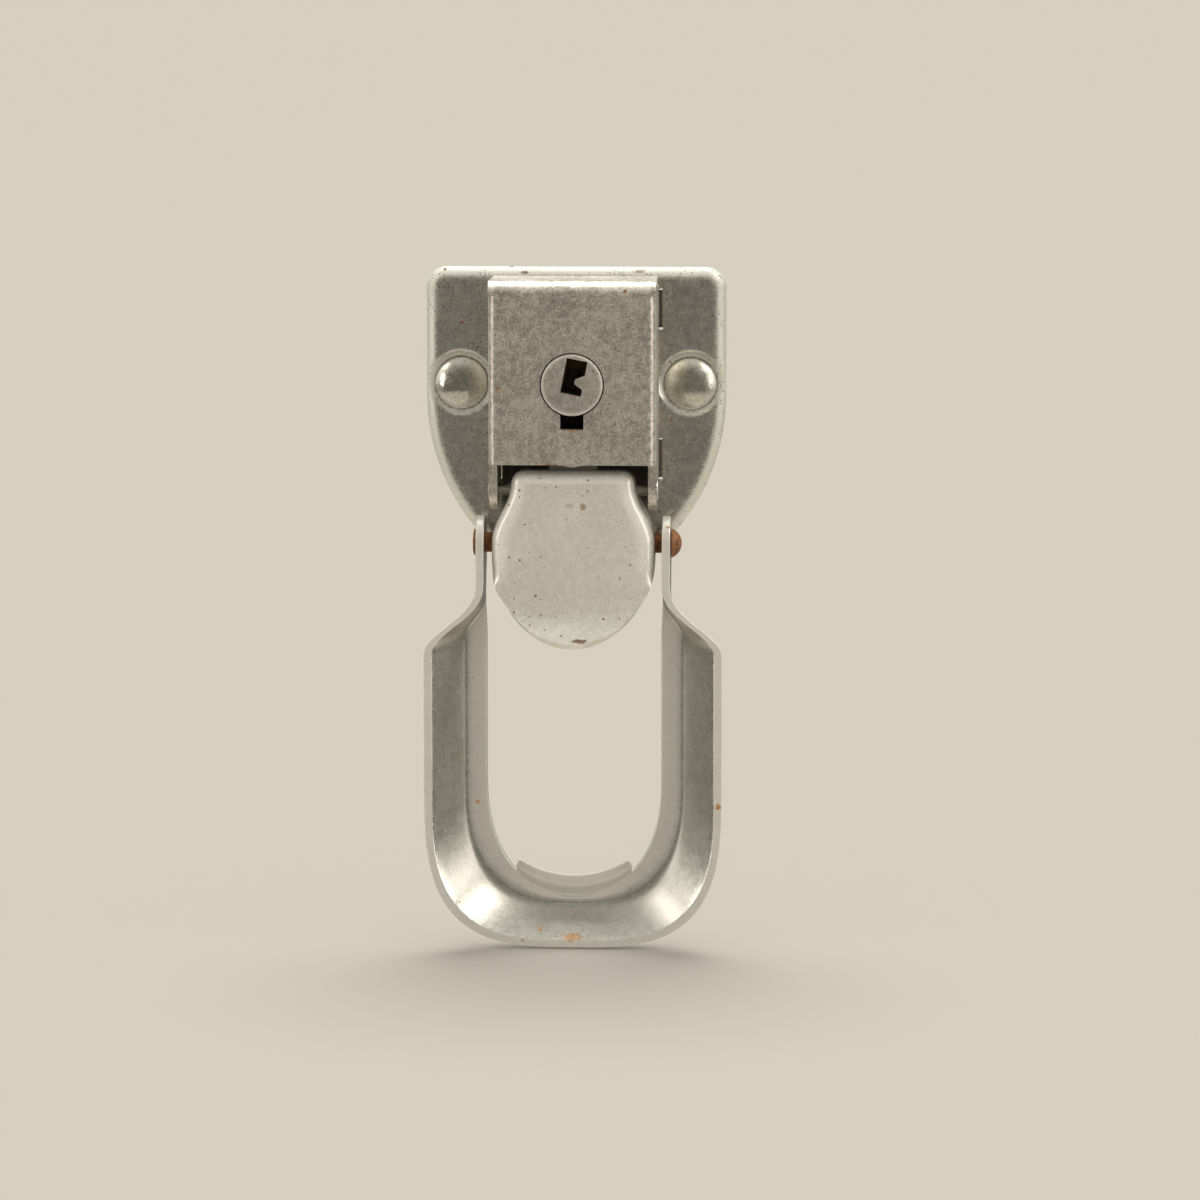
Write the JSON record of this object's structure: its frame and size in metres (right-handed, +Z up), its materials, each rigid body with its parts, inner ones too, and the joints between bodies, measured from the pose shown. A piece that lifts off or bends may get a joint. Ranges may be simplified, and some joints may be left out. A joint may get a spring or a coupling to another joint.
{
  "type": "draw latch",
  "caption": "Keyed draw-bolt latch for a trunk or case: riveted plate, folded lock case, over-centre thumb lever and a swinging flared bail.",
  "frame": {"origin": "midway between the two mounting rivets, on the panel plane that the base plate's rim rests on", "axes": "+X to the right seen from the front, +Z up towards the lid, -Y out of the panel towards the viewer"},
  "size_m": [0.044, 0.0196, 0.0994],
  "materials": {
    "plate_nickel": "polished nickel plate, worn and pitted",
    "case_nickel": "satin nickel plate, fine grain, small rust specks",
    "lever_nickel": "bright satin nickel plate with rust pits",
    "bail_nickel": "semi-bright nickel plate, speckled edges",
    "rivet_nickel": "polished nickel plate",
    "plug_nickel": "brushed nickel plate",
    "zinc": "raw zinc die casting",
    "plain_steel": "plain pressed steel",
    "wafer_brass": "stamped brass",
    "spring_steel": "bright drawn steel",
    "rusty_steel": "rusted steel"
  },
  "bodies": {
    "base": {"base_plate": "plate_nickel", "lock_case": "case_nickel", "mounting_rivet_left": "rivet_nickel", "mounting_rivet_right": "rivet_nickel", "lock_body": "zinc", "lever_pin": "spring_steel"},
    "lever": {"lever": "lever_nickel"},
    "bail_rivet": {"bail_rivet": "rusty_steel"},
    "bail": {"bail": "bail_nickel"},
    "plug": {"plug": "plug_nickel", "plug_cam": "plain_steel", "wafer_1": "wafer_brass", "wafer_2": "wafer_brass", "wafer_3": "wafer_brass", "wafer_4": "wafer_brass", "wafer_spring_1": "spring_steel", "wafer_spring_2": "spring_steel", "wafer_spring_3": "spring_steel", "wafer_spring_4": "spring_steel"},
    "bolt": {"bolt": "plain_steel"}
  },
  "joints": [
    {"name": "lever_lift", "type": "hinge", "parent": "base", "child": "lever", "pos_m": [0, -0.0085, -0.015], "axis": [-1, 0, 0], "range_deg": [0, 90]},
    {"name": "rivet_turn", "type": "hinge", "parent": "lever", "child": "bail_rivet", "pos_m": [0, -0.0075, -0.0229], "axis": [-1, 0, 0], "range_deg": [-90, 0]},
    {"name": "bail_swing", "type": "hinge", "parent": "bail_rivet", "child": "bail", "pos_m": [0, -0.0075, -0.0229], "axis": [-1, 0, 0], "range_deg": [0, 180]},
    {"name": "plug_turn", "type": "hinge", "parent": "base", "child": "plug", "pos_m": [0, -0.0135, 0.0008], "axis": [0, 1, 0], "range_deg": [-11, 79]},
    {"name": "bolt_slide", "type": "slide", "parent": "base", "child": "bolt", "axis": [0, 0, -1], "range_m": [-0.0003, 0.0022]}
  ],
  "couplings": [
    {"joint": "rivet_turn", "follows": "lever_lift", "ratio": -1},
    {"joint": "bolt_slide", "follows": "plug_turn", "m_per_rad": 0.0015305}
  ]
}
